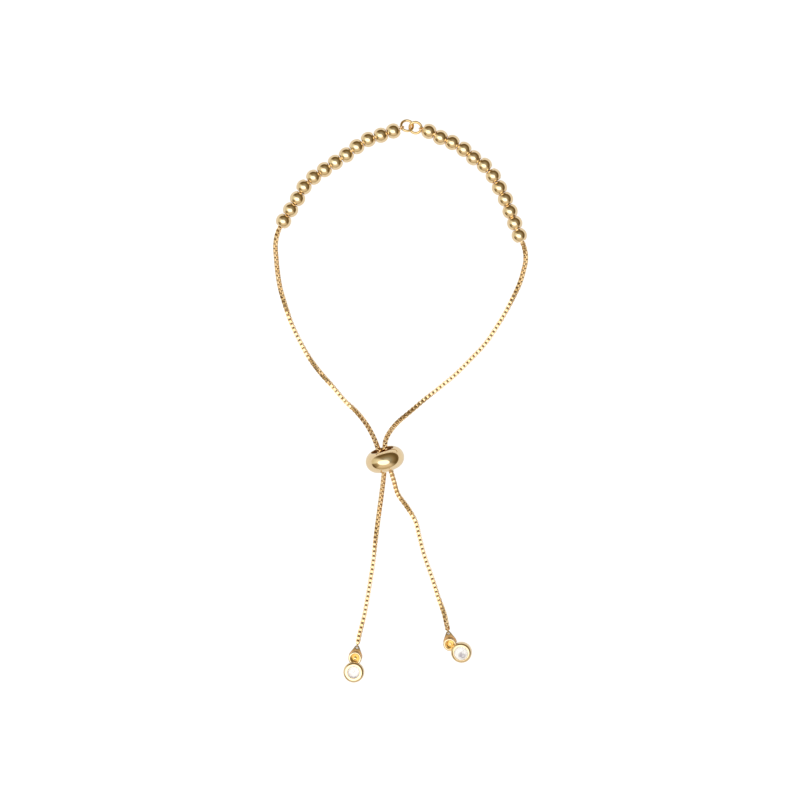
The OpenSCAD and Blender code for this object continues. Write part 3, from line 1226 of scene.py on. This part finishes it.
# The room's tones from the horizon to the zenith: its near side's, then those of the others.
NEAR_TONES: Stops = (
    (0.0, (0.62, 0.55, 0.43)), (0.08, (0.5, 0.43, 0.31)), (0.28, (0.6, 0.53, 0.4)),
    (0.5, (0.8, 0.72, 0.58)), (0.68, (0.82, 0.76, 0.66)), (0.84, (0.95, 0.94, 0.9)),
    (1.0, (1.0, 1.0, 0.98)),
)
WALLS = (
    Wall(
        towards=172.0,
        span=(0.75, 0.97),
        stops=(
            (0.0, (0.74, 0.7, 0.57)), (0.28, (0.77, 0.76, 0.61)), (0.5, (0.86, 0.88, 0.75)),
            (0.7, (1.0, 1.0, 0.95)), (1.0, (1.0, 1.0, 1.0)),
        ),
    ),
    Wall(
        towards=213.0,
        span=(0.9, 0.985),
        stops=(
            (0.0, (0.45, 0.37, 0.25)), (0.05, (0.14, 0.095, 0.04)), (0.2, (0.16, 0.115, 0.055)),
            (0.36, (0.34, 0.28, 0.17)), (0.5, (0.37, 0.31, 0.19)), (0.68, (0.6, 0.54, 0.41)),
            (0.82, (0.95, 0.94, 0.9)), (1.0, (1.0, 1.0, 1.0)),
        ),
    ),
    Wall(
        towards=52.0,
        span=(-0.3, 0.3),
        stops=(
            (0.0, (0.5, 0.41, 0.28)), (0.05, (0.24, 0.175, 0.09)), (0.12, (0.16, 0.11, 0.05)),
            (0.3, (0.14, 0.1, 0.04)), (0.5, (0.21, 0.155, 0.075)), (0.68, (0.3, 0.24, 0.15)),
            (0.82, (0.32, 0.31, 0.24)), (0.93, (0.5, 0.5, 0.46)), (1.0, (1.0, 1.0, 1.0)),
        ),
    ),
)


@dataclass
class Studio(Part):
    """White table, the room with its soft light, and a camera that looks straight down."""

    view_width: float = 0.1656
    view_middle: Place = (-0.0001035, 0.0001035, 0.0015)
    camera_distance: float = 0.9
    table_half: float = 2.5
    fill_size: float = 0.6
    fill_height: float = 0.8
    fill_power: float = 0.12
    least_level: float = 1e-4
    softbox: Softbox = Softbox()

    def surroundings(self) -> None:
        """Pale room with a soft light overhead, and a dark warm corner at the upper right."""
        world = bpy.data.worlds.new("room")
        bpy.context.scene.world = world
        bench = Bench(world)
        aim = bench.add("TexCoord", output="Generated")
        height = bench.along(aim, UP)
        level = (1.0 - height**2.0).at_least(self.least_level) ** 0.5
        seen = bench.ramp(height, NEAR_TONES)
        for wall in WALLS:
            seen = bench.mix(wall.share(bench, aim, level), seen, bench.ramp(height, wall.stops))
        seen = bench.mix(self.softbox.share(bench, aim), seen, self.softbox.colour)
        lit = bench.add("Background", inputs={"Color": seen})
        white = bench.add("Background", inputs={"Color": WHITE})
        camera_ray = bench.add("LightPath", output="Is Camera Ray")
        room = bench.add("MixShader", inputs={0: camera_ray, 1: lit, 2: white})
        bench.add("OutputWorld", inputs={"Surface": room})

    def table(self) -> None:
        """White table top at the height on which the bracelet rests."""
        bm = bmesh.new()
        bmesh.ops.create_grid(bm, x_segments=1, y_segments=1, size=self.table_half)
        made = in_scene("table", as_mesh(bm, "table"))
        made.data.materials.append(self.shop.material(TableFinish()))

    def fill_light(self) -> None:
        """Weak soft light from straight above, which no metal reflects."""
        data = bpy.data.lights.new("fill", "AREA")
        data.size, data.energy = self.fill_size, self.fill_power
        made = in_scene("fill", data)
        made.location = UP * self.fill_height
        made.visible_glossy = False

    def camera(self) -> None:
        """Long lens straight above, with the beads at the top of the picture."""
        data = bpy.data.cameras.new("camera")
        data.sensor_width = 36.0
        data.lens = data.sensor_width * self.camera_distance / self.view_width
        data.clip_start, data.clip_end = 0.01, 20.0
        made = in_scene("camera", data)
        x, y, z = self.view_middle
        made.location = (x, y, z + self.camera_distance)
        bpy.context.scene.camera = made

    def build(self) -> None:
        """Sets up the whole studio."""
        bpy.context.scene.view_settings.view_transform = "Standard"
        self.surroundings()
        self.table()
        self.fill_light()
        self.camera()


RING_LEFT = Pose((1.36, 56.89, 1.33), turn=-12.8, pitch=-25.0)
RING_RIGHT = Pose((3.11, 56.49, 1.33), turn=-12.8, pitch=25.0)
EYE_LEFT = Pose((-9.43, -53.38, 1.08), turn=-4.6, lean=-4.0)
EYE_RIGHT = Pose((10.23, -50.53, 1.46), turn=56.0, lean=-15.0)
# A tag is on the pin under its drop's loop, and holds its chain's link at the other end.
TAG_DROP = Vector((0.0, 0.0, -0.66))
TAG_LEFT = Pose(tuple(EYE_LEFT.matrix() @ TAG_DROP), turn=-9.6, pitch=5.5, lean=-4.0)
TAG_RIGHT = Pose(tuple(EYE_RIGHT.matrix() @ TAG_DROP), turn=10.6, pitch=8.0, lean=-10.5)
TAG_LINK = 2.68

# Routes of the chains: place, and roll of the chain, at twelve bead middles, down the open
# side, through the sliding bead and along the tail.
LEFT_ROWS: tuple[Row, ...] = (
    (-1.49, 55.77, 1.6, 0.0), (-4.07, 54.9, 1.6, 0.0), (-6.68, 54.02, 1.6, 0.0),
    (-9.04, 52.53, 1.6, 0.0), (-11.19, 50.83, 1.6, 0.0), (-13.48, 49.3, 1.6, 0.0),
    (-15.74, 47.77, 1.6, 0.0), (-17.98, 46.22, 1.6, 0.0), (-19.98, 44.2, 1.6, 0.0),
    (-21.31, 41.79, 1.6, 0.0), (-22.75, 39.48, 1.6, 0.0), (-24.2, 37.15, 1.6, 10.0),
    (-25.4, 34.8, 1.16, 25.0), (-25.9, 32.2, 0.66, 45.0), (-25.75, 29.4, 0.58, 45.0),
    (-25.45, 26.4, 0.58, 45.0), (-24.95, 23.4, 0.58, 45.0), (-23.9, 19.8, 0.58, 30.0),
    (-22.6, 16.0, 0.52, 5.0), (-20.9, 12.4, 0.5, 0.0), (-18.9, 8.86, 0.57, 20.0),
    (-16.6, 5.75, 0.58, 45.0), (-14.05, 2.9, 0.54, 10.0), (-11.6, 0.0, 0.62, 0.0),
    (-9.2, -2.25, 1.35, 30.0), (-7.1, -4.85, 2.5, 45.0), (-5.6, -7.5, 3.6, 45.0),
    (-4.42, -10.54, 4.3, 45.0), (-3.92, -12.34, 3.96, 45.0), (-3.42, -14.14, 3.5, 45.0),
    (-3.6, -16.8, 2.3, 45.0), (-3.95, -19.6, 1.25, 45.0), (-4.35, -22.5, 0.7, 45.0),
    (-4.78, -25.8, 0.58, 40.0), (-5.2, -29.2, 0.57, 20.0), (-5.6, -33.0, 0.5, 0.0),
    (-6.2, -37.0, 0.5, 0.0), (-6.9, -41.2, 0.5, 0.0), (-7.6, -45.0, 0.52, 0.0),
    (-8.4, -48.1, 0.72, 10.0),
)
RIGHT_ROWS: tuple[Row, ...] = (
    (5.87, 55.69, 1.6, 0.0), (8.26, 54.43, 1.6, 0.0), (10.71, 53.39, 1.6, 0.0),
    (13.11, 51.99, 1.6, 0.0), (15.13, 50.23, 1.6, 0.0), (17.36, 48.66, 1.6, 0.0),
    (19.19, 46.49, 1.6, 0.0), (20.46, 44.05, 1.6, 0.0), (21.71, 41.67, 1.6, 0.0),
    (22.67, 39.16, 1.6, 0.0), (23.63, 36.7, 1.6, 0.0), (24.57, 34.16, 1.6, 10.0),
    (25.6, 31.8, 1.16, 30.0), (25.95, 29.3, 0.66, 45.0), (25.5, 26.9, 0.58, 45.0),
    (24.75, 24.4, 0.58, 40.0), (23.6, 21.8, 0.57, 20.0), (21.95, 18.6, 0.52, 5.0),
    (19.9, 15.2, 0.5, 0.0), (17.5, 11.7, 0.5, 0.0), (14.4, 8.4, 0.5, 0.0),
    (11.4, 5.4, 0.5, 0.0), (8.2, 2.75, 0.5, 0.0), (5.0, 0.2, 0.62, 10.0),
    (2.0, -2.35, 1.25, 20.0), (-0.7, -4.65, 2.35, 40.0), (-2.35, -6.7, 3.35, 45.0),
    (-3.1, -8.4, 4.05, 45.0), (-3.16, -10.2, 4.32, 40.0), (-2.66, -12.0, 3.96, 35.0),
    (-2.16, -13.8, 3.52, 20.0), (-1.35, -16.6, 2.3, 10.0), (-0.5, -19.4, 1.25, 15.0),
    (1.4, -22.1, 0.72, 30.0), (3.1, -25.0, 0.55, 5.0), (4.0, -28.6, 0.5, 0.0),
    (5.0, -32.35, 0.5, 0.0), (6.45, -36.45, 0.5, 0.0), (7.85, -40.8, 0.54, 10.0),
    (9.0, -44.0, 0.75, 30.0), (9.55, -46.3, 1.0, 45.0),
)


def main() -> None:
    """Builds the studio and the bracelet, and reports each piece."""
    logging.basicConfig(level=logging.INFO, format="%(name)s: %(message)s")
    shop = Workshop()
    rings = TopRings(shop, RING_LEFT, RING_RIGHT)
    left_ends = EndLink(RING_LEFT, rings.radius, turn=127.0), EndLink(TAG_LEFT, TAG_LINK)
    right_ends = EndLink(RING_RIGHT, rings.radius, turn=-89.0), EndLink(TAG_RIGHT, TAG_LINK)
    parts = [
        Studio(shop),
        BeadedChain(shop, Side.LEFT, LEFT_ROWS, *left_ends),
        BeadedChain(shop, Side.RIGHT, RIGHT_ROWS, *right_ends),
        SlidingBead(shop),
        rings,
        EndTag(shop, Side.LEFT, TAG_LEFT),
        EndTag(shop, Side.RIGHT, TAG_RIGHT),
        StoneDrop(shop, Side.LEFT, EYE_LEFT, Lying.FACE_DOWN, CLEAR_CRYSTAL),
        StoneDrop(shop, Side.RIGHT, EYE_RIGHT, Lying.FACE_UP, SHADED_CRYSTAL),
    ]
    for part in parts:
        log.info(type(part).__name__)
        part.build()


if __name__ == "__main__":
    main()
